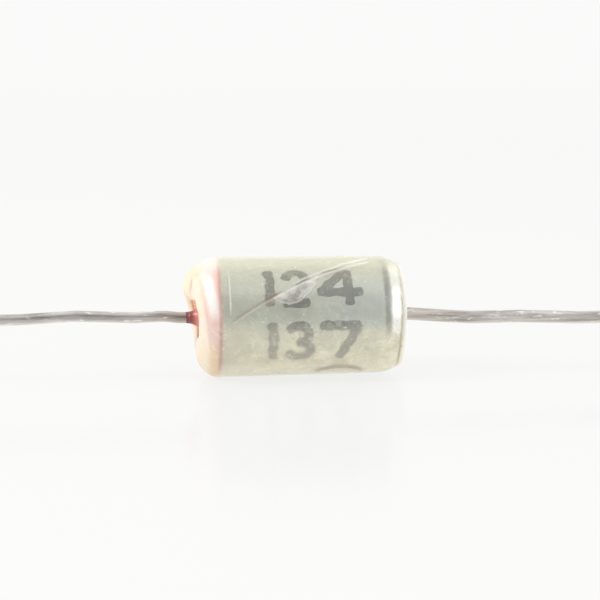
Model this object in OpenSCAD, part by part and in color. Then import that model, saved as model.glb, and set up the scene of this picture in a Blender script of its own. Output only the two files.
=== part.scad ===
// Axial-lead solid tantalum capacitor in a drawn metal can.
// The can is closed by a red resin seal at the anode end, and a clear film sleeve is
// drawn over it and gathered in at both ends.
// X runs along the body axis: the anode lead leaves towards -X, the cathode lead
// towards +X. The origin lies on the axis, half-way along the can and between the
// tips of the leads. The part lies on its side, with +Z up. Sizes are in millimetres.

/* [Can] */
// Outside diameter of the drawn can
can_d = 4.72; // [4.5:0.01:5.5]
// Length of the can, from its open rim to its closed end
can_l = 7.75; // [7:0.05:12]
// Thickness of the can's wall
can_wall = 0.22; // [0.15:0.01:0.3]
// Thickness of the can's closed end
can_base = 0.26; // [0.15:0.01:0.4]
// Outside radius between the wall and the closed end
can_corner = 1.0; // [0.8:0.05:1.1]

/* [Sleeve] */
// Thickness of the film
film = 0.1; // [0.06:0.01:0.14]
// Air between the film and what it covers
film_gap = 0.02; // [0.02:0.01:0.05]
// How much looser the film is at the can's rim than at its closed end
film_slack = 0.05; // [0:0.01:0.08]
// How far the film laps over the closed end, in from its outside
film_lap = 0.74; // [0.5:0.02:0.95]
// Space between the anode lead and the film's gathered mouth
mouth_space = 0.5; // [0.45:0.02:0.6]
// Width of the gathered lip, from the mouth out to its crest
lip_width = 0.52; // [0.4:0.02:0.6]
// Least height of the lip's crest over the seal
lip_rise = 0.1; // [0.08:0.01:0.2]
// How much higher the lip stands where the film was left long
lip_flare = 0.5; // [0.2:0.02:0.6]
// Length of the stray tip on the lip
lip_tip = 0.1; // [0:0.01:0.15]
// Depth of the gathers round the mouth
pleat_depth = 0.05; // [0:0.01:0.07]

/* [Seal] */
// Height of the resin's dome over the can's rim
seal_dome = 0.72; // [0.5:0.02:0.9]
// Radius of the resin's rise up the anode lead
seal_fillet = 0.7; // [0.4:0.02:0.8]

/* [Leads] */
// Diameter of the anode lead
anode_lead_d = 0.47; // [0.4:0.01:0.6]
// Length of the anode lead beyond the can's rim
anode_lead_l = 13.4; // [12:0.1:40]
// Diameter of the cathode lead
cathode_lead_d = 0.54; // [0.4:0.01:0.7]
// Length of the cathode lead beyond the closed end
cathode_lead_l = 13.4; // [12:0.1:40]
// Diameter of the cathode lead's welded head
head_d = 1.3; // [0.8:0.05:1.6]
// Thickness of the cathode lead's welded head
head_t = 0.18; // [0.1:0.01:0.3]
// Radius of the slight bends in the leads, to the middle of the wire
bend_r = 2.5; // [1.5:0.1:4]
// Turn of the bends about the body axis, away from upright
bend_roll = 20; // [0:5:40]

/* [Element] */
// Diameter of the sintered pellet
pellet_d = 3.2; // [2.4:0.05:3.3]
// Length of the sintered pellet
pellet_l = 4.9; // [3:0.1:5.2]
// Radius on the pellet's edges
pellet_edge = 0.2; // [0.1:0.05:0.4]
// Diameter of the pellet's riser wire
riser_d = 0.4; // [0.3:0.01:0.46]
// Depth to which the riser wire is set in the pellet
riser_set = 2.4; // [1:0.1:2.8]
// Length of the riser wire outside the pellet
riser_out = 0.95; // [0.7:0.05:1.2]
// Diameter of the weld between the riser wire and the anode lead
weld_d = 0.72; // [0.66:0.02:0.9]
// Diameter of the insulating washer on the riser wire
washer_d = 1.6; // [1:0.05:2]
// Thickness of the insulating washer
washer_t = 0.16; // [0.13:0.01:0.25]
// Thickness of the manganese dioxide coat
manganese_t = 0.12; // [0.08:0.01:0.16]
// Thickness of the graphite coat
graphite_t = 0.06; // [0.04:0.01:0.08]
// Thickness of the silver coat
silver_t = 0.06; // [0.04:0.01:0.08]
// How far the graphite and silver stop short of the pellet's top
coat_stop = 0.45; // [0.3:0.05:0.8]
// Solder left under the element, on the inside of the closed end
solder_floor = 0.3; // [0.15:0.05:0.5]
// How far the solder stops short of the pellet's top
solder_stop = 0.9; // [0.7:0.05:1.5]

/* [Hidden] */
$fn = 96;

// Planes across the body axis, from the anode end to the cathode end
rim_x = -can_l / 2;
base_x = can_l / 2;
floor_x = base_x - can_base;
silver_x = floor_x - solder_floor;
graphite_x = silver_x - silver_t;
manganese_x = graphite_x - graphite_t;
pellet_x = manganese_x - manganese_t;
pellet_top_x = pellet_x - pellet_l;
weld_x = pellet_top_x - riser_out;

// Radii
can_r = can_d / 2;
bore_r = can_r - can_wall;
tight_r = can_r + film_gap + film;
sleeve_r = tight_r + film_slack;
anode_lead_r = anode_lead_d / 2;
pellet_r = pellet_d / 2;
manganese_r = pellet_r + manganese_t;
graphite_r = manganese_r + graphite_t;
silver_r = graphite_r + silver_t;

// The seal's dome is part of a ball, and its rise up the lead is part of a ring that
// touches both the ball and the lead. Distances are measured outwards from the rim.
ball_r = (bore_r * bore_r + seal_dome * seal_dome) / (2 * seal_dome);
ball_e = seal_dome - ball_r;
rise_r = anode_lead_r + seal_fillet;
rise_e = ball_e + sqrt(pow(ball_r + seal_fillet, 2) - pow(rise_r, 2));
touch_r = rise_r * ball_r / (ball_r + seal_fillet);

// Height of the resin over the rim at radius r
function seal_height(r) =
    r < touch_r
        ? rise_e - sqrt(pow(seal_fillet, 2) - pow(rise_r - r, 2))
        : ball_e + sqrt(pow(ball_r, 2) - pow(r, 2));

// The film turns in over the closed end on the can's own corner, one film further out
shoulder_r = can_corner + film_gap + film;
corner_x = base_x - can_corner;
corner_r = can_r - can_corner;

// Steps from one ring of the film to the next: round the lip, down to the rim of the
// can, and round the shoulder at the closed end
film_sides = 72;
lip_steps = 4;
gather_steps = 10;
shoulder_steps = 7;
// Angle through which the lip turns back in
lip_turn = 60;

// How the gathered end differs round the axis, from the top over the front (-Y), the
// bottom and the back, in eight equal steps: where the film was left long, and where
// its mouth is wider
long_at = [0.75, 0.3, 0, 0, 0.2, 0.18, 0.42, 0.95];
wide_at = [0, 0.12, 0, 0.1, 0.16, 0.05, 0, 0.06];
// Where the stray tip stands, and how wide it is, in degrees
tip_at = 336;
tip_spread = 9;

// Steps of the leads, from the inner end: a straight length, then the angle of a bend.
// A lead ends in one more straight length, parallel to the axis.
anode_inner_l = weld_x - rim_x + rise_e + 0.1;
anode_steps = [
    [anode_inner_l, 8], [0.25, -10.5], [0.9, 5.5], [2.2, -6], [2.2, 3]
];
cathode_steps = [[0.25, 5], [2.5, -5.3], [2, 3], [2.4, -2.7]];
// A bend laps over the straights at its ends by this angle, and is this much thicker
bend_lap = 1;
bend_swell = 0.004;

// Margin by which a cutting tool overshoots
margin = 1;

// ---- Shared forms ----

// Turns an upright form so that its +Z runs along +X
module along_x() {
    rotate([0, 90, 0]) children();
}

// Spins a half-section, drawn as [radius, x], about the body axis
module spin() {
    along_x() rotate_extrude() children();
}

// Half-section of a solid round slug from x0 to x1, with rounded edges where edge0, at
// x0, and edge1, at x1, aren't 0
module slug_section(x0, x1, r, edge1 = 0, edge0 = 0) {
    translate([0, x0]) square([r - edge0, x1 - x0 - edge1]);
    translate([0, x0 + edge0]) square([r - edge1, x1 - x0 - edge0]);
    translate([0, x0 + edge0]) square([r, x1 - x0 - edge0 - edge1]);
    if (edge0 > 0) translate([r - edge0, x0 + edge0]) circle(r = edge0);
    if (edge1 > 0) translate([r - edge1, x1 - edge1]) circle(r = edge1);
}

// Half-sections of the element, out to each of its layers
module pellet_section() {
    slug_section(pellet_top_x, pellet_x, pellet_r, pellet_edge, pellet_edge);
}

module manganese_section() {
    edge = pellet_edge + manganese_t;
    slug_section(pellet_top_x - manganese_t, manganese_x, manganese_r, edge, edge);
}

module graphite_section() {
    edge = pellet_edge + graphite_r - pellet_r;
    slug_section(pellet_top_x + coat_stop, graphite_x, graphite_r, edge);
}

module silver_section() {
    edge = pellet_edge + silver_r - pellet_r;
    slug_section(pellet_top_x + coat_stop, silver_x, silver_r, edge);
}

// ---- Can ----

// One drawn cup, open at the anode end
module can() {
    color([0.66, 0.67, 0.65])
    spin()
    difference() {
        slug_section(rim_x, base_x, can_r, can_corner);
        slug_section(rim_x - margin, floor_x, bore_r, can_corner - can_wall);
    }
}

// ---- Seal ----

// Resin cast round the anode lead: a plug down to the solder, a dome over the rim and
// a rise up the lead
module end_seal() {
    tip_x = rim_x - rise_e;
    color([0.78, 0.22, 0.24])
    spin()
    difference() {
        union() {
            translate([0, rim_x]) square([bore_r, pellet_top_x + solder_stop - rim_x]);
            intersection() {
                translate([0, rim_x - ball_e]) circle(r = ball_r);
                translate([0, rim_x - seal_dome]) square([bore_r, seal_dome]);
            }
            difference() {
                polygon([[0, tip_x], [rise_r, tip_x], [0, rim_x - ball_e]]);
                translate([rise_r, tip_x]) circle(r = seal_fillet);
            }
        }
        translate([0, tip_x - margin]) square([anode_lead_r, weld_x - tip_x + margin]);
        translate([0, weld_x]) square([riser_d / 2, riser_out + margin]);
        translate([0, weld_x]) circle(r = weld_d / 2);
        washer_section();
        manganese_section();
        silver_section();
    }
}

// ---- Leads ----

// Wire of diameter d along +Z, with its bends towards +X. Each step is a straight
// length and then the angle of the bend that follows it.
module bent_wire(d, steps, last_l, i = 0) {
    if (i == len(steps)) {
        cylinder(d = d, h = last_l);
    } else {
        length = steps[i][0];
        angle = steps[i][1];
        side = sign(angle);
        cylinder(d = d, h = length);
        translate([side * bend_r, 0, length]) {
            rotate([90, 0, 0])
            rotate_extrude(
                angle = abs(angle) + 2 * bend_lap,
                start = (side > 0 ? 180 - angle : 0) - bend_lap
            )
            translate([bend_r, 0])
            circle(d = d + bend_swell);

            rotate([0, angle, 0])
            translate([-side * bend_r, 0, 0])
            bent_wire(d, steps, last_l, i + 1);
        }
    }
}

// How far such steps reach along +Z, from step i on, where the wire already leans by
// the angle lean
function reach(steps, i = 0, lean = 0) =
    i == len(steps)
        ? 0
        : steps[i][0] * cos(lean)
            + sign(steps[i][1]) * bend_r * (sin(lean + steps[i][1]) - sin(lean))
            + reach(steps, i + 1, lean + steps[i][1]);

// Tinned wire, welded end to end to the riser wire inside the seal
module anode_lead() {
    whole_l = weld_x - rim_x + anode_lead_l;
    color([0.45, 0.42, 0.39])
    rotate([bend_roll, 0, 0])
    translate([weld_x, 0, 0])
    rotate([0, -90, 0])
    bent_wire(anode_lead_d, anode_steps, whole_l - reach(anode_steps));
}

// Tinned wire with an upset head, welded flat on the can's closed end
module cathode_lead() {
    color([0.5, 0.48, 0.45]) {
        spin() slug_section(base_x, base_x + head_t, head_d / 2, head_t / 2);

        rotate([bend_roll, 0, 0])
        translate([base_x, 0, 0])
        along_x()
        bent_wire(cathode_lead_d, cathode_steps, cathode_lead_l - reach(cathode_steps));
    }
}

// ---- Element ----

// Tantalum powder pressed and sintered round the riser wire
module anode_pellet() {
    color([0.3, 0.31, 0.34])
    spin()
    difference() {
        pellet_section();
        translate([0, pellet_top_x - margin]) square([riser_d / 2, riser_set + margin]);
    }
}

// Tantalum wire, set in the pellet at one end and welded to the anode lead at the other
module riser_wire() {
    color([0.52, 0.53, 0.57])
    translate([weld_x, 0, 0])
    along_x()
    cylinder(d = riser_d, h = riser_out + riser_set);
}

module washer_section() {
    translate([riser_d / 2, pellet_top_x - washer_t])
    square([(washer_d - riser_d) / 2, washer_t]);
}

// Fluoropolymer washer that keeps the coats off the riser wire
module riser_washer() {
    color([0.94, 0.94, 0.92])
    spin() washer_section();
}

// Bead where the riser wire and the anode lead are welded end to end
module riser_weld() {
    color([0.6, 0.6, 0.62])
    spin()
    difference() {
        intersection() {
            translate([0, weld_x]) circle(r = weld_d / 2);
            translate([0, weld_x - weld_d]) square([weld_d, 2 * weld_d]);
        }
        translate([0, weld_x - margin]) square([anode_lead_r, margin]);
        translate([0, weld_x]) square([riser_d / 2, margin]);
    }
}

// Semiconductor coat all round the pellet, open only where the washer sits
module manganese_coat() {
    color([0.14, 0.13, 0.13])
    spin()
    difference() {
        manganese_section();
        pellet_section();
        translate([0, pellet_top_x - margin]) square([washer_d / 2, margin]);
    }
}

module graphite_coat() {
    color([0.2, 0.2, 0.21])
    spin()
    difference() {
        graphite_section();
        manganese_section();
    }
}

module silver_coat() {
    color([0.8, 0.8, 0.79])
    spin()
    difference() {
        silver_section();
        graphite_section();
    }
}

// Solder that joins the silver coat to the can
module can_solder() {
    color([0.58, 0.59, 0.6])
    spin()
    difference() {
        slug_section(pellet_top_x + solder_stop, floor_x, bore_r, can_corner - can_wall);
        silver_section();
    }
}

// ---- Sleeve ----
// The film is one closed surface. At each angle round the axis, its section is worked
// out as points [x, r]: the outside from the gathered mouth to the lap on the closed
// end, and the inside one film thickness further in. Angles run from the top over the
// front (-Y).

// Smooth curve through the values of a list spread evenly round the axis
function around(list, a) =
    let (
        n = len(list),
        t = a * n / 360,
        i = floor(t),
        f = t - i,
        p0 = list[(i + n - 1) % n],
        p1 = list[i % n],
        p2 = list[(i + 1) % n],
        p3 = list[(i + 2) % n]
    )
    p1 + f * (p2 - p0) / 2
        + f * f * (2 * p0 - 5 * p1 + 4 * p2 - p3) / 2
        + f * f * f * (3 * p1 - p0 - 3 * p2 + p3) / 2;

// Depth of the gathers at an angle, from 0 on a ridge to 1 in the deepest fold
function pleat(a) = (1 + 0.5 * cos(7 * a + 25) + 0.3 * cos(11 * a + 80) + 0.2 * cos(4 * a)) / 2;

// Radius of the film's mouth at an angle
function mouth_r(a) = anode_lead_r + mouth_space + around(wide_at, a);

// Height of the film's edge over the rim, where it would lie on the resin
function lying_e(a) = seal_height(mouth_r(a)) + film_gap + film;

// Height of the lip's crest over the rim
function crest_e(a) =
    lying_e(a) + lip_rise + lip_flare * around(long_at, a)
        + lip_tip * exp(-pow((a - tip_at) / tip_spread, 2));

// Gathers pull a point inwards, more and more towards the mouth
function gathered(e, r, a) =
    [rim_x - e, r - pleat_depth * pleat(a) * pow(e / crest_e(a), 2)];

// Outside of the section, from the edge of the mouth to the edge of the lap
function outside_points(a) =
    let (
        edge_r = mouth_r(a),
        crest_r = edge_r + lip_width,
        top_e = crest_e(a),
        back_e = (top_e - lying_e(a)) / 2,
        lap_angle = asin((tight_r - film_lap - corner_r) / shoulder_r)
    )
    [
        for (i = [0:lip_steps])
            let (turn = lip_turn * (1 - i / lip_steps))
            gathered(
                top_e - back_e * (1 - cos(turn)) / (1 - cos(lip_turn)),
                crest_r - lip_width * sin(turn) / sin(lip_turn),
                a
            ),
        for (i = [1:gather_steps])
            let (turn = 90 * (1 - i / gather_steps))
            gathered(top_e * sin(turn), crest_r + (sleeve_r - crest_r) * cos(turn), a),
        for (i = [0:shoulder_steps])
            let (turn = 90 - (90 - lap_angle) * i / shoulder_steps)
            [corner_x + shoulder_r * cos(turn), corner_r + shoulder_r * sin(turn)]
    ];

// The point one film thickness inside point i of an outside section
function inside_point(points, i) =
    let (
        along = points[min(i + 1, len(points) - 1)] - points[max(i - 1, 0)]
    )
    points[i] + film * [along[1], -along[0]] / norm(along);

// The whole section as one loop
function film_section(a) =
    let (outside = outside_points(a), last = len(outside) - 1)
    [
        for (point = outside) point,
        for (i = [0:last]) inside_point(outside, last - i)
    ];

// Clear film sleeve
module sleeve() {
    // Half a step of turn puts a flat side, not an edge, at the bottom
    angles = [for (s = [0:film_sides - 1]) 360 * (s + 0.5) / film_sides];
    sections = [for (a = angles) film_section(a)];
    count = len(sections[0]);
    points = [
        for (s = [0:film_sides - 1])
            for (p = sections[s]) [p[0], -p[1] * sin(angles[s]), p[1] * cos(angles[s])]
    ];
    faces = [
        for (s = [0:film_sides - 1])
            let (here = s * count, next = ((s + 1) % film_sides) * count)
            for (i = [0:count - 1])
                let (j = (i + 1) % count)
                for (face = [[here + i, here + j, next + j], [here + i, next + j, next + i]])
                    face
    ];
    color([0.9, 0.89, 0.74, 0.5])
    polyhedron(points, faces);
}

// ---- Nodes ----

can();
sleeve();
end_seal();
anode_lead();
cathode_lead();
anode_pellet();
riser_wire();
riser_washer();
riser_weld();
manganese_coat();
graphite_coat();
silver_coat();
can_solder();
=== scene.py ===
import math
import bpy
import numpy as np
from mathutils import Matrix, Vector


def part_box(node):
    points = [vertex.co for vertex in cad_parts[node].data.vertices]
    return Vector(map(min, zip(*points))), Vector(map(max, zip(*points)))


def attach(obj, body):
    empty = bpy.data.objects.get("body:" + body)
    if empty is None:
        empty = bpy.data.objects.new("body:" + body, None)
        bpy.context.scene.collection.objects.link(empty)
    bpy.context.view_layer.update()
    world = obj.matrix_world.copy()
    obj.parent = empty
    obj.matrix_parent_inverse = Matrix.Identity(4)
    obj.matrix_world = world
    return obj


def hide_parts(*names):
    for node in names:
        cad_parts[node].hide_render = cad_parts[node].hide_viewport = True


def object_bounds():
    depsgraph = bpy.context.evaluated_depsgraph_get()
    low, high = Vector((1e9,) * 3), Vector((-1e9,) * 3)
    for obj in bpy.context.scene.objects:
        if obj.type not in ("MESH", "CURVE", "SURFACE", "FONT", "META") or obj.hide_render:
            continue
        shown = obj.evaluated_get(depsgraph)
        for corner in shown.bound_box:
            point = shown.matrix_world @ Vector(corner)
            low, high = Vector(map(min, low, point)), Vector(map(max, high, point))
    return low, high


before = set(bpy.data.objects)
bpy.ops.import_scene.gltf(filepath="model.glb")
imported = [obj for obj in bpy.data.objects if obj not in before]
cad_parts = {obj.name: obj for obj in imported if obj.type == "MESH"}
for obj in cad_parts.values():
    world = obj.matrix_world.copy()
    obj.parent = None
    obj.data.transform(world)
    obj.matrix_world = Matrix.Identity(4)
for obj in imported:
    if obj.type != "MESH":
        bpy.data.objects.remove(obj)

cad_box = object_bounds()
MM = 0.001


# ---- Camera ----
# A long lens looks almost square on to the printed side, a little from the anode end
# and a little from above.

camera_turn = -6.5
camera_rise = 9.0
camera_distance = 100 * MM
seen_width = 25.35 * MM
aim = Vector((-0.36, 0, 0.66)) * MM

camera_data = bpy.data.cameras.new("camera")
camera_data.sensor_width = 36
camera_data.lens = camera_data.sensor_width * camera_distance / seen_width
camera_data.clip_start = 0.005
camera_data.clip_end = 20
camera = bpy.data.objects.new("camera", camera_data)
turn = math.radians(camera_turn)
rise = math.radians(camera_rise)
towards_camera = Vector(
    (math.sin(turn) * math.cos(rise), -math.cos(turn) * math.cos(rise), math.sin(rise))
)
camera.location = aim + towards_camera * camera_distance
camera.rotation_mode = "QUATERNION"
camera.rotation_quaternion = (-towards_camera).to_track_quat("-Z", "Y")
bpy.context.scene.collection.objects.link(camera)
bpy.context.scene.camera = camera


# ---- Floor and light ----
# A pale sheet, lit from below and slightly glossy, in a white light tent. A dark card
# stands for the tent's opening on the camera's side, and two soft boxes stand at the
# ends. Here and below, finishes are worked out by shader nodes.

class Sock:
    """One output socket of a node tree. In an expression, + - * and / add Math nodes."""

    def __init__(self, tree, link):
        self.tree = tree
        self.link = link

    def node(self, kind, values=None, output=0, **settings):
        """Adds a node: its settings first, then the values or links of its sockets."""
        made = self.tree.nodes.new(kind)
        for name, value in settings.items():
            setattr(made, name, value)
        for name, value in (values or {}).items():
            if isinstance(value, Sock):
                self.tree.links.new(value.link, made.inputs[name])
            else:
                made.inputs[name].default_value = value
        return Sock(self.tree, made.outputs[output] if made.outputs else None)

    def math(self, operation, *others, clamp=False):
        """Adds a Math node that works on this and the others."""
        values = dict(enumerate((self, *others)))
        return self.node("ShaderNodeMath", values, operation=operation, use_clamp=clamp)

    def __add__(self, other):
        return self.math("ADD", other)

    __radd__ = __add__

    def __sub__(self, other):
        return self.math("SUBTRACT", other)

    def __rsub__(self, other):
        return self.node("ShaderNodeMath", {0: other, 1: self}, operation="SUBTRACT")

    def __mul__(self, other):
        return self.math("MULTIPLY", other)

    __rmul__ = __mul__

    def __truediv__(self, other):
        return self.math("DIVIDE", other)

    def clamp(self):
        """This, kept between 0 and 1."""
        return self.math("ADD", 0.0, clamp=True)

    def step(self, low, high):
        """0 below low and 1 above high, smooth between them."""
        return self.node(
            "ShaderNodeMapRange",
            {"Value": self, "From Min": low, "From Max": high},
            interpolation_type="SMOOTHSTEP",
        )

    def line(self, width):
        """1 where this is 0, falling to 0 at width to either side."""
        return 1 - self.math("ABSOLUTE").step(width * 0.25, width)

    def within(self, low, high, soft):
        """1 between low and high, falling to 0 over soft outside them."""
        return self.step(low - soft, low) * (1 - self.step(high, high + soft))

    def mix(self, first, second):
        """The first colour where this is 0, the second where it is 1."""
        return self.node(
            "ShaderNodeMix", {0: self, 6: first, 7: second}, output=2, data_type="RGBA"
        )


def new_material(name):
    """An empty material, the wrapper that adds its nodes, and its Object coordinates."""
    material = bpy.data.materials.new(name)
    material.use_nodes = True
    material.node_tree.nodes.clear()
    maker = Sock(material.node_tree, None)
    place = maker.node("ShaderNodeTexCoord", output=3)
    return material, maker, place


def finish_material(maker, shader):
    """Makes shader the material's surface."""
    maker.node("ShaderNodeOutputMaterial", {"Surface": shader})


def separate(maker, vector):
    """The three parts of a vector, as sockets."""
    parts = maker.node("ShaderNodeSeparateXYZ", {"Vector": vector}).link.node.outputs
    return [Sock(maker.tree, part) for part in parts]


floor_z = cad_box[0].z
floor_reach = 8.0
near_glow = (0.797, 0.797, 0.795, 1)
far_glow = (0.838, 0.838, 0.838, 1)
gloss_share = 0.08


def sheet(name, corners):
    """A flat face through the corners, which isn't part of the object."""
    mesh = bpy.data.meshes.new(name)
    mesh.from_pydata(corners, [], [tuple(range(len(corners)))])
    made = bpy.data.objects.new(name, mesh)
    bpy.context.scene.collection.objects.link(made)
    return made


floor = sheet(
    "floor",
    [
        (side * floor_reach, end * floor_reach, floor_z)
        for side, end in ((-1, -1), (1, -1), (1, 1), (-1, 1))
    ],
)
floor_material, maker, place = new_material("floor_white")
x, y = separate(maker, place)[:2]
# The sheet glows a little less near the part than further off.
far = (x * x + y * y).math("SQRT").step(0.02, 0.3)
glow = maker.node(
    "ShaderNodeEmission", {"Color": far.mix(near_glow, far_glow), "Strength": 1.0}
)
white = maker.node("ShaderNodeBsdfDiffuse", {"Color": (0.11, 0.11, 0.106, 1)})
gloss = maker.node("ShaderNodeBsdfGlossy", {"Color": (1, 1, 1, 1), "Roughness": 0.16})
lit = maker.node("ShaderNodeAddShader", {0: glow, 1: white})
finish_material(
    maker, maker.node("ShaderNodeMixShader", {0: gloss_share, 1: lit, 2: gloss})
)
floor.data.materials.append(floor_material)

card_left, card_right, card_top, card_y = -0.22, 0.2, 0.32, -0.25
card = sheet(
    "dark_card",
    [
        (card_left, card_y, 0.0),
        (card_right, card_y, 0.0),
        (card_right, card_y, card_top),
        (card_left, card_y, card_top),
    ],
)
card_material, maker, place = new_material("card_grey")
finish_material(
    maker, maker.node("ShaderNodeEmission", {"Color": (0.9, 1, 1.1, 1), "Strength": 0.27})
)
card.data.materials.append(card_material)
card.visible_camera = False
card.visible_shadow = False

world = bpy.data.worlds.new("tent")
bpy.context.scene.world = world
world.use_nodes = True
world.node_tree.nodes.clear()
maker = Sock(world.node_tree, None)
direction = maker.node("ShaderNodeTexCoord", output=0)
backwards, upwards = separate(maker, direction)[1:]
high_back = (upwards * 0.75 + backwards * 0.65).step(0.55, 1.0)
tent = high_back.mix((0.955, 0.955, 0.955, 1), (1.2, 1.2, 1.19, 1))
maker.node(
    "ShaderNodeOutputWorld",
    {"Surface": maker.node("ShaderNodeBackground", {"Color": tent, "Strength": 1.0})},
)


def soft_box(name, place, size, brightness):
    """A lit panel that faces the part. Its power follows from its size and brightness."""
    place = Vector(place)
    data = bpy.data.lights.new(name, "AREA")
    data.shape = "RECTANGLE"
    data.size, data.size_y = size
    data.energy = brightness * math.pi * size[0] * size[1]
    lamp = bpy.data.objects.new(name, data)
    lamp.location = place
    lamp.rotation_mode = "QUATERNION"
    lamp.rotation_quaternion = place.to_track_quat("Z", "Y")
    lamp.visible_camera = False
    bpy.context.scene.collection.objects.link(lamp)


soft_box("right_box", place=(0.122, -0.08, 0.062), size=(0.17, 0.125), brightness=1.9)
soft_box("left_box", place=(-0.115, -0.02, 0.085), size=(0.05, 0.085), brightness=8.0)

bpy.context.scene.view_settings.view_transform = "Standard"
bpy.context.scene.view_settings.look = "None"


# ---- Can ----
# One drawn metal cup, closed at the cathode end. Its satin grey wall shows through the
# film, with faint marks of drawing along it. Like each new piece, it is a grid of
# points worked out at once and put into one mesh.

def surface(name, grids):
    """One object from grids of points shaped (rows, columns, 3).

    Each grid is (points, rows_closed, columns_closed). A quad joins each point to its
    neighbours in the next row and the next column, and a tube's two ends get a face.
    """
    points = []
    quads = []
    ends = []
    base = 0
    for grid, rows_closed, columns_closed in grids:
        rows, columns = grid.shape[:2]
        index = base + np.arange(rows * columns).reshape(rows, columns)
        if columns_closed and not rows_closed:
            ends += [index[0, ::-1].tolist(), index[-1].tolist()]
        if rows_closed:
            index = np.vstack([index, index[:1]])
        if columns_closed:
            index = np.hstack([index, index[:, :1]])
        corners = [index[:-1, :-1], index[:-1, 1:], index[1:, 1:], index[1:, :-1]]
        quads.append(np.stack(corners, axis=-1).reshape(-1, 4))
        points.append(grid.reshape(-1, 3))
        base += rows * columns
    mesh = bpy.data.meshes.new(name)
    mesh.from_pydata(
        np.concatenate(points).tolist(), [], np.concatenate(quads).tolist() + ends
    )
    mesh.shade_smooth()
    piece = bpy.data.objects.new(name, mesh)
    bpy.context.scene.collection.objects.link(piece)
    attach(piece, "root")
    return piece


def spun(profile, columns):
    """The profile's points (x, r), carried round the body axis.

    A point at angle a is (x, -r sin a, r cos a), so a runs from the top over the front.
    """
    a = np.linspace(0, 2 * np.pi, columns, endpoint=False)
    x = np.repeat(profile[:, :1], columns, axis=1)
    r = profile[:, 1:]
    return np.stack([x, -r * np.sin(a), r * np.cos(a)], axis=-1)


def arc(x, r, radius, start, end, steps):
    """Points (x, r) of an arc round the centre (x, r), from start to end degrees."""
    t = np.radians(np.linspace(start, end, steps))
    return np.stack([x + radius * np.cos(t), r + radius * np.sin(t)], axis=-1)


can_low, can_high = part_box("can")
rim_x = can_low.x
base_x = can_high.x
can_r = can_high.z
can_wall = 0.22 * MM
can_base = 0.26 * MM
can_corner = 1.0 * MM
can_columns = 256
rim_edge = 0.03 * MM
crisp = 0.01 * MM
pole_r = 0.0005 * MM

bore_r = can_r - can_wall
floor_x = base_x - can_base
corner_x = base_x - can_corner
corner_r = can_r - can_corner
inner_corner = can_corner - can_wall
wall_x = np.linspace(rim_x + 0.1 * MM, corner_x, 20)[:-1]
# From the middle of its floor, along the bore, over the rim, and back to its base.
cup = np.concatenate(
    [
        [[floor_x, pole_r], [floor_x, corner_r * 0.5]],
        arc(floor_x - inner_corner, corner_r, inner_corner, 0, 90, 12),
        [[rim_x + crisp, bore_r], [rim_x, bore_r], [rim_x, bore_r + crisp]],
        arc(rim_x + rim_edge, can_r - rim_edge, rim_edge, 180, 90, 5),
        np.stack([wall_x, np.full_like(wall_x, can_r)], axis=-1),
        arc(corner_x, corner_r, can_corner, 90, 0, 24),
        [[base_x, corner_r * 0.5], [base_x, pole_r]],
    ]
)
can = surface("can_shell", [(spun(cup, can_columns), False, True)])
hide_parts("can")


def noise(maker, place, scale, detail=3.0, roughness=0.5, stretch=(1, 1, 1)):
    """Cloudy noise from 0 to 1, with features about 1 / scale metres across."""
    squeezed = maker.node("ShaderNodeMapping", {"Vector": place, "Scale": stretch})
    return maker.node(
        "ShaderNodeTexNoise",
        {"Vector": squeezed, "Scale": scale, "Detail": detail, "Roughness": roughness},
    )


material, maker, place = new_material("can_metal")
x, _, z = separate(maker, place)
streaks = noise(maker, place, 900, 4, 0.6, (0.12, 1, 1))
cloud = noise(maker, place, 420, 3, 0.6)
specks = noise(maker, place, 5200, 2, 0.5)
across = x / MM
# The rounded shoulder is painted near white as a painted highlight, and is smoother there.
shoulder_highlight = across.step(3.04, 3.2)
# A dark line is painted round the wall where it meets the rounded corner, and the bump sinks a shallow
# groove along it.
dark_corner_line = (across - 3.07).line(0.19)
tone = (streaks - 0.5) * 0.3 + (cloud - 0.5) * 0.35 + 0.5
colour = tone.clamp().mix((0.5, 0.52, 0.53, 1), (0.7, 0.72, 0.73, 1))
colour = shoulder_highlight.mix(colour, (0.9, 0.91, 0.9, 1))
# A bluish band just above the middle of the front is a painted reflection of the bluish card.
cool_reflection = across.step(-0.8, 2.4) * (z / MM).within(0.2, 1.5, 0.6)
colour = (cool_reflection * 0.5).mix(colour, (0.6, 0.64, 0.67, 1))
colour = (dark_corner_line * 0.85).mix(colour, (0.1, 0.11, 0.11, 1))
# Low down the wall is painted paler, as painted light from the bright floor below, with
# light patches where the film clings to it, and dull spots between them.
lit_low_down = 1 - (z / MM).step(-0.9, 0.15)
patches = noise(maker, place, 1100, 4, 0.7).step(0.44, 0.62)
grain = noise(maker, place, 4200, 3, 0.7).step(0.42, 0.66)
clinging = (patches * grain * (0.2 + lit_low_down * 1.1)).clamp()
dulled = (1 - patches) * (1 - grain) * lit_low_down
colour = (lit_low_down * 0.8).mix(colour, (0.98, 0.965, 0.92, 1))
colour = (dulled * 0.35).mix(colour, (0.3, 0.29, 0.26, 1))
colour = (clinging * 0.9).mix(colour, (1.0, 0.97, 0.88, 1))
finish_material(
    maker,
    maker.node(
        "ShaderNodeBsdfPrincipled",
        {
            "Base Color": colour,
            "Metallic": (1 - clinging * 0.6 - lit_low_down * 0.3).clamp(),
            "Roughness": (cloud - 0.5) * 0.25 + 0.37 - shoulder_highlight * 0.1 + clinging * 0.3,
            "Normal": maker.node(
                "ShaderNodeBump",
                {
                    "Height": specks * 0.6 + streaks * 0.4 - dark_corner_line * 1.5,
                    "Distance": 0.004 * MM,
                    "Strength": 0.6,
                },
            ),
        },
    ),
)
can.data.materials.append(material)


# ---- Seal ----
# Red resin cast into the can's mouth round the anode lead. It stands up in a dome and
# climbs the wire a little way.

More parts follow.
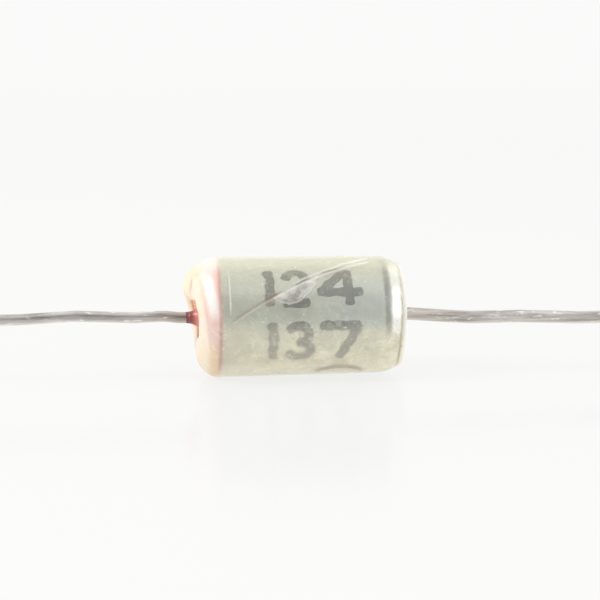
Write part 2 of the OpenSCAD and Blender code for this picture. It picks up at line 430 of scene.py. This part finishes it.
anode_r = 0.235 * MM
seal_dome = 0.72 * MM
seal_fillet = 0.7 * MM
plug_depth = 1.2 * MM
seal_columns = 160
ball_r = (bore_r ** 2 + seal_dome ** 2) / (2 * seal_dome)
ball_e = seal_dome - ball_r
rise_r = anode_r + seal_fillet
rise_e = ball_e + math.sqrt((ball_r + seal_fillet) ** 2 - rise_r ** 2)


def seal_height(r):
    """Height of the resin over the rim at radius r: its ball, or its rise up the lead."""
    touch_r = rise_r * ball_r / (ball_r + seal_fillet)
    rise_part = rise_e - np.sqrt(np.maximum(seal_fillet ** 2 - (rise_r - r) ** 2, 0))
    ball_part = ball_e + np.sqrt(ball_r ** 2 - r ** 2)
    return np.where(r < touch_r, rise_part, ball_part)


seal_radii = bore_r - (bore_r - anode_r) * np.linspace(0, 1, 60) ** 0.8
seal_profile = np.concatenate(
    [
        [[rim_x + plug_depth, bore_r - crisp]],
        np.stack([rim_x - seal_height(seal_radii), seal_radii], axis=-1),
        [[rim_x + plug_depth, anode_r]],
    ]
)
seal = surface("seal_resin", [(spun(seal_profile[::-1], seal_columns), True, True)])
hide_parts("end_seal")

material, maker, place = new_material("red_resin")
_, y, z = separate(maker, place)
cloud = noise(maker, place, 900, 3, 0.6)
radius = (y * y + z * z).math("SQRT")
near_wire = 1 - (radius / MM).step(0.25, 1.2)
colour = (near_wire * 0.8 + (cloud - 0.5) * 0.4).clamp().mix(
    (1.0, 0.33, 0.27, 1), (0.52, 0.14, 0.13, 1)
)
collar = 1 - (radius / MM).step(0.24, 0.4)
colour = (collar * 0.75).mix(colour, (0.1, 0.025, 0.03, 1))
finish_material(
    maker,
    maker.node(
        "ShaderNodeBsdfPrincipled",
        {
            "Base Color": colour,
            "Roughness": 0.2,
            "Normal": maker.node(
                "ShaderNodeBump", {"Height": cloud, "Distance": 0.02 * MM, "Strength": 0.5}
            ),
        },
    ),
)
seal.data.materials.append(material)


# ---- Leads ----
# Tinned wires, hand-straightened, so that they still run in slight waves. The cathode
# lead ends in an upset head, welded flat on the can.

bend_r = 2.5 * MM
bend_roll = math.radians(20)
weld_x = -2.775 * MM
ring_spacing = 0.06 * MM
wire_columns = 32
dent_depth = 0.006
# Each step is a straight length in millimetres and the bend after it in degrees.
anode_inner_l = weld_x - rim_x + rise_e + 0.1 * MM
anode_steps = [(anode_inner_l / MM, 8), (0.25, -10.5), (0.9, 5.5), (2.2, -6), (2.2, 3)]
cathode_steps = [(0.25, 5), (2.5, -5.3), (2, 3), (2.4, -2.7)]


def wire_path(steps, tip):
    """Points and leans along a wire: straights and arcs in turn, ending straight at tip.

    The first column is the way along the axis, the second the way off it, in metres,
    and the third is the wire's lean there, in radians.
    """
    along, off, lean = 0.0, 0.0, 0.0
    places = []
    for length, angle in steps:
        length *= MM
        count = max(2, int(length / ring_spacing))
        t = np.linspace(0, length, count, endpoint=False)
        places.append(
            np.stack([along + t * math.cos(lean), off + t * math.sin(lean), t * 0 + lean], -1)
        )
        along += length * math.cos(lean)
        off += length * math.sin(lean)
        side = math.copysign(1, angle)
        after = lean + math.radians(angle)
        h = np.linspace(lean, after, 8, endpoint=False)
        places.append(
            np.stack(
                [
                    along + side * bend_r * (np.sin(h) - math.sin(lean)),
                    off - side * bend_r * (np.cos(h) - math.cos(lean)),
                    h,
                ],
                -1,
            )
        )
        along += side * bend_r * (math.sin(after) - math.sin(lean))
        off -= side * bend_r * (math.cos(after) - math.cos(lean))
        lean = after
    t = np.linspace(along, tip, int((tip - along) / ring_spacing))
    places.append(np.stack([t, t * 0 + off, t * 0], -1))
    return np.concatenate(places)


def wire_grid(path, radius, start_x, way, seed):
    """A tube round the path: each ring is square to the wire, with shallow dents.

    way is 1 for the lead that leaves towards -X, and -1 for the other.
    """
    a = np.linspace(0, 2 * np.pi, wire_columns, endpoint=False)
    along, off, lean = path[:, :1], path[:, 1:2], path[:, 2:]
    s = np.concatenate([[0], np.cumsum(np.hypot(*np.diff(path[:, :2], axis=0).T))])[:, None]
    rng = np.random.default_rng(seed)
    dent = np.zeros((len(path), wire_columns))
    for _ in range(14):
        wave = rng.uniform(0.4, 2.6) / MM
        turns = rng.integers(0, 4)
        dent += np.sin(wave * s + turns * a + rng.uniform(0, 6.28)) * rng.uniform(0.2, 1)
    r = radius * (1 - dent_depth * (1 + dent / 4))
    across = r * np.cos(a)
    sideways = r * np.sin(a)
    x = along - across * np.sin(lean)
    w = off + across * np.cos(lean)
    y = -w * math.sin(bend_roll) * way + sideways * math.cos(bend_roll)
    z = w * math.cos(bend_roll) * way + sideways * math.sin(bend_roll)
    return np.stack([start_x - way * x, y, z], axis=-1)


def drawn_in(ring, share):
    """The ring again as a row, with its points moved in to this share of their radius."""
    centre = ring.mean(axis=0)
    return (centre + (ring - centre) * share)[None]


def with_cut_ends(grid):
    """The grid with smaller rings before and after it, for the wire's two cut faces.

    Each face has a ring near the wire's edge and a tiny one at its centre.
    """
    first = [drawn_in(grid[0], 0.01), drawn_in(grid[0], 0.9)]
    last = [drawn_in(grid[-1], 0.93), drawn_in(grid[-1], 0.01)]
    return np.concatenate(first + [grid] + last)


anode_path = wire_path(anode_steps, weld_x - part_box("anode_lead")[0].x)
anode_grid = wire_grid(anode_path, anode_r, weld_x, way=1, seed=3)
anode = surface("anode_wire", [(with_cut_ends(anode_grid), False, True)])
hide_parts("anode_lead")

cathode_r = 0.27 * MM
head_r = 0.65 * MM
head_t = 0.18 * MM
head_fillet = 0.1 * MM
head_pole = 0.001 * MM
head_columns = 96
fillet_x = base_x + head_t + head_fillet
cathode_path = wire_path(cathode_steps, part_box("cathode_lead")[1].x - base_x)
cathode_grid = wire_grid(cathode_path, cathode_r, base_x, way=-1, seed=5)
head = np.concatenate(
    [
        [[base_x, head_pole]],
        arc(base_x + head_t / 2, head_r - head_t / 2, head_t / 2, 180, 0, 12),
        arc(fillet_x, cathode_r + head_fillet, head_fillet, 180, 270, 6)[:-1],
        [[fillet_x, cathode_r * 0.98], [fillet_x, head_pole]],
    ]
)
cathode = surface(
    "cathode_wire",
    [
        (with_cut_ends(cathode_grid), False, True),
        (spun(head, head_columns), False, True),
    ],
)
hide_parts("cathode_lead")


def tinned(name, dark, light, stain):
    """Dulled tin: scratches along the wire, bright flakes, and a stain near the body."""
    material, maker, place = new_material(name)
    x = separate(maker, place)[0]
    scratches = noise(maker, place, 4200, 4, 0.75, (0.07, 1, 1))
    cloud = noise(maker, place, 700, 3, 0.6, (0.5, 1, 1))
    flakes = noise(maker, place, 7500, 1, 0.5, (0.3, 1, 1)).step(0.62, 0.74)
    tone = ((scratches - 0.5) * 3.0 + (cloud - 0.5) * 1.2 + 0.5).clamp()
    near = 1 - (x / MM).math("ABSOLUTE").step(5.2, 7.5)
    colour = tone.mix(dark, light)
    # The tin is painted darker on the sides and top as painted shade, and paler underneath as painted
    # light from the bright floor.
    up = separate(maker, maker.node("ShaderNodeTexCoord", output=1))[2]
    shaded_top = up.step(-0.5, -0.15)
    lit_underside = 1 - up.step(-0.85, -0.4)
    shaded_top_tone = tone.mix((0.29, 0.265, 0.25, 1), (0.64, 0.61, 0.58, 1))
    colour = (shaded_top * 0.7).mix(colour, shaded_top_tone)
    colour = (lit_underside * 0.5).mix(colour, (0.92, 0.9, 0.87, 1))
    colour = (near * stain).mix(colour, (0.33, 0.22, 0.15, 1))
    colour = (flakes * 0.55).mix(colour, (1.0, 0.98, 0.95, 1))
    finish_material(
        maker,
        maker.node(
            "ShaderNodeBsdfPrincipled",
            {
                "Base Color": colour,
                "Metallic": 0.85,
                "Roughness": (cloud - 0.5) * 0.3 + 0.38,
                "Normal": maker.node(
                    "ShaderNodeBump",
                    {
                        "Height": scratches + cloud * 0.7,
                        "Distance": 0.025 * MM,
                        "Strength": 0.8,
                    },
                ),
            },
        ),
    )
    return material


anode.data.materials.append(
    tinned("anode_tin", (0.4, 0.365, 0.335, 1), (0.74, 0.705, 0.67, 1), 0.35)
)
cathode.data.materials.append(
    tinned("cathode_tin", (0.36, 0.335, 0.295, 1), (0.78, 0.75, 0.68, 1), 0.22)
)


# ---- Print ----
# Two rows of plain numbers, stamped on the can in dark ink before the film went on.

ink_r = can_r + 0.004 * MM
ink_layer = 0.0004 * MM
ink_width = 0.4 * MM
ink_reach = 0.12 * MM
ink_corner = 0.1 * MM
ink_waver = 0.009 * MM
ink_step = 0.02 * MM
ink_least = 0.02 * MM
print_turn = math.radians(81)


def stroke(points, seed):
    """A ribbon along points (u, v), where v is the way up the wall.

    Its ends are blunt with round corners, and its edges waver as stamped ink does.
    """
    points = np.array(points, float) * MM
    steps = np.hypot(*np.diff(points, axis=0).T)
    s = np.concatenate([[0], np.cumsum(steps)])
    places = max(16, int(s[-1] / ink_step))
    t = np.linspace(-ink_reach, s[-1] + ink_reach, places)
    inside = np.clip(t, 0, s[-1])
    line = np.stack([np.interp(inside, s, points[:, i]) for i in range(2)], -1)
    first = (points[1] - points[0]) / steps[0]
    last = (points[-1] - points[-2]) / steps[-1]
    line += np.minimum(t, 0)[:, None] * first + np.maximum(t - s[-1], 0)[:, None] * last
    ahead = np.gradient(line, axis=0)
    ahead /= np.hypot(*ahead.T)[:, None]
    side = np.stack([-ahead[:, 1], ahead[:, 0]], -1)
    edge = np.clip((ink_reach + np.minimum(t, s[-1] - t)) / ink_corner, 0, 1)
    half = ink_width / 2 * np.sqrt(np.clip(1 - (1 - edge) ** 2, 0.04, 1))
    rng = np.random.default_rng(seed)
    waver = np.zeros((2, len(t)))
    for _ in range(6):
        wave = rng.uniform(3, 14, (2, 1)) / MM
        waver += np.sin(wave * t + rng.uniform(0, 6.28, (2, 1))) * ink_waver
    across = np.linspace(1, -1, 7)
    width = np.where(across < 0, (half + waver[0])[:, None], (half + waver[1])[:, None])
    off = np.maximum(width, ink_least) * across
    return line[:, None, :] + side[:, None, :] * off[:, :, None]


def on_wall(flat, lift):
    """Wraps points (u, v) on the can's wall, lift above it."""
    a = print_turn - flat[..., 1] / can_r
    r = ink_r + lift
    return np.stack([flat[..., 0], -r * np.sin(a), r * np.cos(a)], -1)


def bow(cx, cy, rx, ry, start, end):
    """Points of an oval arc round (cx, cy), from start to end degrees."""
    t = np.radians(np.linspace(start, end, 24))
    return list(zip(cx + rx * np.cos(t), cy + ry * np.sin(t)))


# Each number is a list of strokes, in millimetres from its lower left corner.
one = [[(-0.02, 1.4), (0.1, 1.5), (0.14, 0.9), (0.1, 0.0)]]
two = [
    bow(0.45, 1.1, 0.4, 0.4, 170, -20) + [(0.78, 0.85), (0.06, 0.05)],
    [(0.0, 0.02), (0.92, 0.02)],
]
four = [[(1.3, 0.0), (1.22, 1.5)], [(1.15, 1.5), (0.1, 0.5)], [(0.05, 0.47), (1.75, 0.47)]]
three = [bow(0.45, 1.12, 0.42, 0.36, 150, -90), bow(0.45, 0.4, 0.5, 0.38, 90, -150)]
seven = [[(0.0, 1.47), (1.5, 1.47)], [(1.5, 1.47), (0.75, 0.0)]]

# Each row is its height and its numbers, each with the place where it starts.
rows = [
    (0.52, [(one, -1.95), (two, -1.2), (four, 0.2)]),
    (-1.9, [(one, -1.83), (three, -1.1), (seven, 0.32)]),
]
ribbons = []
for low, glyphs in rows:
    for glyph, start in glyphs:
        for points in glyph:
            flat = stroke([(px + start, py + low) for px, py in points], len(ribbons))
            ribbons.append((on_wall(flat, ink_layer * len(ribbons)), False, False))
ink = surface("ink", ribbons)

material, maker, place = new_material("dark_ink")
wear = noise(maker, place, 2600, 3, 0.6)
cloud = noise(maker, place, 600, 2, 0.5)
low_row = 1 - (separate(maker, place)[2] / MM).step(-0.4, 0.2)
finish_material(
    maker,
    maker.node(
        "ShaderNodeBsdfPrincipled",
        {
            "Base Color": low_row.mix(
                cloud.mix((0.01, 0.012, 0.019, 1), (0.06, 0.066, 0.078, 1)),
                (0.2, 0.206, 0.214, 1),
            ),
            "Roughness": 0.5,
            "Alpha": 0.94 - wear.step(0.6, 0.72) * 0.4,
        },
    ),
)
ink.data.materials.append(material)


# ---- Sleeve ----
# One piece of clear film, shrunk on: turned in over the can's closed end, and gathered
# over the resin at the other. Handling has left a slanting crease, a bubble and small
# wrinkles in it, and age has made it milky and yellow.

film = 0.1 * MM
film_gap = 0.02 * MM
film_slack = 0.05 * MM
tight_r = can_r + film_gap + film
sleeve_r = tight_r + film_slack
film_lap = 0.74 * MM
mouth_space = 0.5 * MM
lip_width = 0.52 * MM
lip_rise = 0.1 * MM
lip_flare = 0.5 * MM
lip_tip = 0.1 * MM
pleat_depth = 0.05 * MM
# How far the lip was left long, and the mouth left wide, at even steps round the axis.
long_at = [0.75, 0.3, 0, 0, 0.2, 0.18, 0.42, 0.95]
wide_at = [0, 0.12, 0, 0.1, 0.16, 0.05, 0, 0.06]
tip_at, tip_spread = 336, 9
ridge_at, ridge_spread = 40, 15
ridge_height = 0.13 * MM
film_columns = 480
lip_rows, down_rows, tube_rows, bend_rows = 14, 39, 68, 24
creased_rows, lap_rows = 18, 8


def around(values, degrees):
    """A smooth curve through values spread evenly round the axis.

    Between two values it is a cubic. Its slope at each is half the difference of the
    two next to it.
    """
    values = np.array(values, float)
    n = len(values)
    t = degrees * n / 360
    i = np.floor(t).astype(int)
    f = t - i
    p0, p1, p2, p3 = (values[(i + k) % n] for k in (-1, 0, 1, 2))
    return (
        p1
        + f * (p2 - p0) / 2
        + f ** 2 * (2 * p0 - 5 * p1 + 4 * p2 - p3) / 2
        + f ** 3 * (3 * p1 - p0 - 3 * p2 + p3) / 2
    )


deg = np.linspace(0, 360, film_columns, endpoint=False)[None, :]
rad = np.radians(deg)
# How deep the gathers go, at each angle.
pleat = (
    1
    + 0.5 * np.cos(np.radians(7 * deg + 25))
    + 0.3 * np.cos(np.radians(11 * deg + 80))
    + 0.2 * np.cos(np.radians(4 * deg))
) / 2
# Here e is a height over the can's rim, and r a distance from the axis. Outside its
# crest the film runs down to the can. Inside, it turns part of the way to the resin.
mouth_r = anode_r + mouth_space + around(wide_at, deg) * MM
lying_e = seal_height(mouth_r) + film_gap + film
crest_e = (
    lying_e
    + lip_rise
    + lip_flare * around(long_at, deg)
    + lip_tip * np.exp(-(((deg - tip_at) / tip_spread) ** 2))
)
crest_r = mouth_r + lip_width
back_e = (crest_e - lying_e) / 2

lip_turn = math.radians(60)
turn_in = lip_turn * np.linspace(1, 0, lip_rows)[:, None]
lip_e = crest_e - back_e * (1 - np.cos(turn_in)) / (1 - math.cos(lip_turn))
lip_r = crest_r - lip_width * np.sin(turn_in) / math.sin(lip_turn)
turn_down = math.radians(90) * (1 - np.linspace(0, 1, down_rows + 1)[1:, None])
down_e = crest_e * np.sin(turn_down)
down_r = crest_r + (sleeve_r - crest_r) * np.cos(turn_down)
e = np.concatenate([lip_e, down_e])
r = np.concatenate([lip_r, down_r])
r = r - pleat_depth * pleat * (e / crest_e) ** 2

shoulder_r = can_corner + film_gap + film
lap = math.asin((tight_r - film_lap - corner_r) / shoulder_r)
tube_x = np.linspace(rim_x, corner_x, tube_rows + 2)[1:-1, None]
bend = np.linspace(math.radians(90), lap, bend_rows)[:, None]
# At the turn the film stands off the can in a blunt ridge.
off_turn = np.abs(np.degrees(bend) - ridge_at) / ridge_spread
ridge_r = shoulder_r + ridge_height * np.exp(-(off_turn ** 1.4))
ones = np.ones_like(rad)
outer_x = np.concatenate(
    [rim_x - e, tube_x * ones, (corner_x + ridge_r * np.cos(bend)) * ones]
)
tube_r = sleeve_r + (tight_r - sleeve_r) * (tube_x - rim_x) / (corner_x - rim_x)
outer_r = np.concatenate([r, tube_r * ones, (corner_r + ridge_r * np.sin(bend)) * ones])


def inside_of(x, r, thickness):
    """The points one thickness further in, square to each section's own line."""
    dx = np.gradient(x, axis=0)
    dr = np.gradient(r, axis=0)
    length = np.hypot(dx, dr)
    return x + thickness * dr / length, r - thickness * dx / length


inner_x, inner_r = inside_of(outer_x, outer_r, film)
# The inner side needs fewer rows: every second one where it bends, every sixth between.
tube_start = lip_rows + down_rows
tube_end = tube_start + tube_rows
all_rows = tube_end + bend_rows
thin_out = np.unique(
    np.r_[0:tube_start:2, tube_start:tube_end:6, tube_end:all_rows:2, all_rows - 1]
)
# At each angle the outer and the inner side make one closed loop.
loop_x = np.concatenate([outer_x, inner_x[thin_out][::-1]])
loop_r = np.concatenate([outer_r, inner_r[thin_out][::-1]])
# The film is creased, and so whiter, at its gathered lip and at its lap.
fold_rows = np.zeros(all_rows)
fold_rows[:lip_rows] = np.linspace(0.7, 1, lip_rows)
fold_rows[lip_rows:lip_rows + creased_rows] = np.linspace(1, 0, creased_rows) ** 1.4
fold_rows[-lap_rows:] = np.linspace(0, 1, lap_rows)
fold = np.concatenate([fold_rows, fold_rows[thin_out][::-1]])[:, None] * ones
film_grid = np.stack([loop_x, -loop_r * np.sin(rad), loop_r * np.cos(rad)], axis=-1)
sleeve = surface("film_sleeve", [(film_grid, True, True)])
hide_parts("sleeve")
sleeve.data.attributes.new("fold", "FLOAT", "POINT").data.foreach_set(
    "value", fold.astype(np.float32).ravel()
)

# The marks are worked out in millimetres: along is the way along the body, and height
# the way up the front of it, square to a line that leans back a little.
lean_back = math.radians(9)
material, maker, place = new_material("milky_film")
x, y, z = separate(maker, place)
along = x / MM
level = z / MM
height = (z * math.cos(lean_back) + y * math.sin(lean_back)) / MM
front = (y / MM * -1.0).step(0.0, 0.6)


def mark(curve, width, extent, low, high, soft):
    """A line of this width where curve is 0, as far as extent is from low to high."""
    return curve.line(width) * extent.within(low, high, soft) * front


cloud = noise(maker, place, 700, 4, 0.6)
grain = noise(maker, place, 3600, 3, 0.7)
specks = noise(maker, place, 6500, 2, 0.6).step(0.6, 0.74)
# The lower half of the film is painted milkier and creamier, as painted light from the floor.
lit_low_down = 1 - level.step(-0.5, 0.5)
patches = noise(maker, place, 2200, 3, 0.65).step(0.48, 0.66)
mottle = patches * (0.25 + lit_low_down * 0.75) * grain.step(0.4, 0.62)
dots = noise(maker, place, 3300, 1, 0.5).step(0.76, 0.8)
slant = maker.node("ShaderNodeLayerWeight", {"Blend": 0.37}, output=1)
far_left = (1 - along.step(-3.2, -0.8)) * (1 - level.step(0.3, 1.6))
end = (along * -1.0).step(3.74, 4.06)
low_end = end * (1 - level.step(-1.6, -0.3))
petals = ((along * -1.0).step(4.35, 4.9) + low_end).clamp()
fold = maker.node("ShaderNodeAttribute", output=2, attribute_name="fold")

# A crease slants up the front, bending over a little. Painted shade lies brown in it at its
# left end and just past the bubble, with a brown patch under its left end. One fine light
# line runs below it, and one above its right part.
course = along + 0.63
wander = (noise(maker, place, 1100, 3, 0.6) - 0.5) * 0.14
crease = height - (course * 0.432 - course * course * 0.043 + 1.35) + wander
left_part = along.within(-3.2, -1.5, 0.3) * front
middle_part = along.within(0.5, 1.0, 0.2) * front
right_part = along.within(-0.6, 2.2, 0.4) * front
whole = along.within(-3.2, 2.2, 0.3) * front
crease_shade_line = (crease + 0.02).line(0.13) * (left_part * 0.7 + middle_part * 0.8)
brown_patch = mark(crease + 0.08, 0.28, along, -1.95, -1.65, 0.12)
upper_line = (crease - 0.07).line(0.07) * right_part
lower_line = (crease + 0.1).line(0.08) * (whole * 0.5 + right_part * 0.4)
light_lines = upper_line + lower_line

# A lens-shaped bubble hangs under the crease, streaked inside and light round its edge.
waist = (along + 0.75) / 1.05
depth = (1 - waist * waist).math("MAXIMUM", 0.0) * 0.7
below = crease * -1.0
ragged = (noise(maker, place, 2400, 3, 0.7) - 0.5) * 0.22
past_edge = below + ragged - depth
inside = below.step(0.0, 0.1) * (1 - past_edge.step(-0.1, 0.0)) * front
streaks = noise(maker, place, 2600, 3, 0.75, (0.5, 1, 1)).step(0.42, 0.6)
rim_line = past_edge.line(0.07) * depth.step(0.1, 0.4) * front

# A fine ring stands inside the can's rim, raised in the bump and whitened as a painted highlight, and a
# shallow slack arc low down at the right.
ring_ridge_highlight = mark(along + 3.5, 0.06, height, 0.5, 1.45, 0.6)
sag = (along - 1.15) / 1.05
arc_line = mark(height + 2.14 + sag * sag * 0.2, 0.12, along, 0.3, 2.0, 0.3)

# The turned ends are worn white. By the mouth they show a gleam, which is a painted
# highlight, a cream fold and, where the rim is, a rose line of painted shade. Over the can's
# shoulder they show a frosted patch, milky film brightened as a painted highlight, and the lip.
painted_gleam = mark(along + 4.1 + height * 0.18, 0.36, height, 0.3, 1.45, 0.6)
cream_fold = mark(along + 4.66 + height * 0.115, 0.2, height, -2.1, 1.4, 0.4)
petal_line = mark(along + 5.12 - (height - 0.4) * 0.12, 0.07, height, 0.7, 1.5, 0.3)
rim_shade_line = mark(along + 3.9, 0.12, height, -1.9, 1.7, 0.7)
frost_edge = (along + wander * 2.0).within(3.3, 3.56, 0.14)
frost_and_highlight = frost_edge * height.within(-0.5, 1.7, 0.6) * front * (0.3 + cloud * 0.9).clamp()
lip = along.step(3.7, 3.8) * front
lip_line = mark(along - 3.66 - height * 0.03, 0.08, height, -1.9, 0.3, 0.5)

# The veil is how much of the film is milk, and the tint is the milk's colour.
lines = light_lines * 0.35 + rim_line * 0.3 + ring_ridge_highlight * 0.35 + dots * 0.5
veil = (
    0.165
    + (cloud - 0.5) * 0.14
    + specks * 0.12
    + mottle * 0.4
    + lit_low_down * 0.105
    + slant * 0.35
    + slant.step(0.26, 0.42) * 0.3
    + far_left * 0.09
    + end * 0.2
    + painted_gleam * 0.5
    + low_end * 0.3
    + cream_fold * 0.4
    + rim_shade_line * 0.14
    + frost_and_highlight * 0.7
    + lip * 0.4
    + lip_line * 0.15
    + fold * 0.55
    + lines
    + crease_shade_line * 0.3
    + brown_patch * 0.35
    + petal_line * 0.3
    + arc_line * 0.2
    + inside * (0.13 + streaks * 0.35)
)
tint = (mottle + lit_low_down * 0.3).clamp().mix((0.9, 0.9, 0.8, 1), (1.0, 0.965, 0.88, 1))
# Seen at a slant, the film is tinted darker at the top as painted shade, and cream low down as painted
# light.
rim_tint = lit_low_down.mix((0.81, 0.785, 0.63, 1), (1.0, 0.96, 0.81, 1))
# A bluish band just above the middle of the front is a painted reflection of the bluish card.
cool_reflection = along.step(-0.8, 2.4) * level.within(0.2, 1.5, 0.6)
tint = (cool_reflection * 0.6).mix(tint, (0.89, 0.91, 0.9, 1))
tint = (slant * 1.5).clamp().mix(tint, rim_tint)
tint = end.mix(tint, (1.0, 0.95, 0.92, 1))
tint = petals.mix(tint, (1.0, 0.875, 0.67, 1))
tint = fold.mix(tint, (1.0, 0.95, 0.8, 1))
tint = (painted_gleam * 0.8 + frost_and_highlight + lip * 0.8).clamp().mix(tint, (1.0, 0.99, 0.95, 1))
tint = lip_line.mix(tint, (0.55, 0.53, 0.4, 1))
tint = cream_fold.mix(tint, (1.0, 0.96, 0.82, 1))
tint = (rim_shade_line * 0.6).mix(tint, (0.65, 0.4, 0.38, 1))
# Brown marks darken the tint; along the crease this is painted shade.
brown_marks_and_shade = crease_shade_line * 0.8 + arc_line * 0.6 + brown_patch * 0.7 + petal_line * 0.5
tint = brown_marks_and_shade.clamp().mix(tint, (0.42, 0.35, 0.28, 1))
tint = (lines * 2.0).clamp().mix(tint, (0.98, 0.95, 0.9, 1))
tint = (inside * 0.8).mix(tint, (0.94, 0.91, 0.89, 1))
bumps = (
    light_lines
    - crease_shade_line
    + ring_ridge_highlight
    - arc_line
    + rim_line * 0.6
    + cloud * 1.5
    + mottle * 0.6
    + inside * streaks * 0.6
)
dents = maker.node(
    "ShaderNodeBump", {"Height": bumps, "Distance": 0.02 * MM, "Strength": 0.5}
)
milk = maker.node("ShaderNodeBsdfDiffuse", {"Color": tint, "Normal": dents})
glow = maker.node("ShaderNodeBsdfTranslucent", {"Color": tint, "Normal": dents})
haze = maker.node("ShaderNodeMixShader", {0: 0.45, 1: milk, 2: glow})
clear = maker.node("ShaderNodeBsdfTransparent", {"Color": (0.984, 0.984, 0.95, 1)})
base = maker.node("ShaderNodeMixShader", {0: veil.clamp(), 1: clear, 2: haze})
gloss = maker.node(
    "ShaderNodeBsdfGlossy",
    {"Color": (1, 1, 1, 1), "Roughness": frost_and_highlight * 0.16 + painted_gleam * 0.3 + 0.16, "Normal": dents},
)
fresnel = maker.node("ShaderNodeFresnel", {"IOR": 1.28, "Normal": dents})
mirror = fresnel + frost_and_highlight * 0.27 + painted_gleam * 0.05
# Only the side that faces outwards is glossy.
behind = maker.node("ShaderNodeNewGeometry", output=6)
finish_material(
    maker,
    maker.node("ShaderNodeMixShader", {0: mirror * (1 - behind), 1: base, 2: gloss}),
)
sleeve.data.materials.append(material)


# ---- Element ----
# What is sealed in the can: the sintered slug and its coats, the riser wire with its
# washer and weld, and the solder. These are the frame's own solids.

def plain(name, colour, second, metallic, roughness, grain):
    """A matt powdery or cast finish: two tones of one colour, and a fine grain."""
    material, maker, place = new_material(name)
    speckle = noise(maker, place, grain, 4, 0.6)
    finish_material(
        maker,
        maker.node(
            "ShaderNodeBsdfPrincipled",
            {
                "Base Color": speckle.mix((*colour, 1), (*second, 1)),
                "Metallic": metallic,
                "Roughness": roughness,
                "Normal": maker.node(
                    "ShaderNodeBump", {"Height": speckle, "Distance": 0.01 * MM}
                ),
            },
        ),
    )
    return material


# For each solid: its finish, the two tones, how metallic and how rough it is, and how
# fine its grain is.
finishes = {
    "anode_pellet": ("sintered_tantalum", (0.13, 0.14, 0.16), (0.24, 0.25, 0.28), 0.6, 0.7, 9000),
    "riser_wire": ("tantalum", (0.36, 0.37, 0.4), (0.46, 0.47, 0.5), 1.0, 0.35, 4000),
    "riser_washer": ("fluoropolymer", (0.86, 0.86, 0.84), (0.93, 0.93, 0.92), 0.0, 0.45, 2500),
    "riser_weld": ("weld", (0.3, 0.3, 0.31), (0.5, 0.5, 0.5), 1.0, 0.4, 3500),
    "manganese_coat": ("manganese_dioxide", (0.02, 0.018, 0.018), (0.06, 0.055, 0.05), 0.0, 0.85, 7000),
    "graphite_coat": ("graphite", (0.05, 0.05, 0.055), (0.1, 0.1, 0.11), 0.2, 0.6, 6000),
    "silver_coat": ("silver_paint", (0.6, 0.6, 0.58), (0.76, 0.76, 0.74), 0.9, 0.5, 5000),
    "can_solder": ("solder", (0.45, 0.46, 0.47), (0.6, 0.6, 0.61), 1.0, 0.38, 2500),
}
for node_name, finish in finishes.items():
    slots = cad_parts[node_name].data.materials
    slots.clear()
    slots.append(plain(*finish))
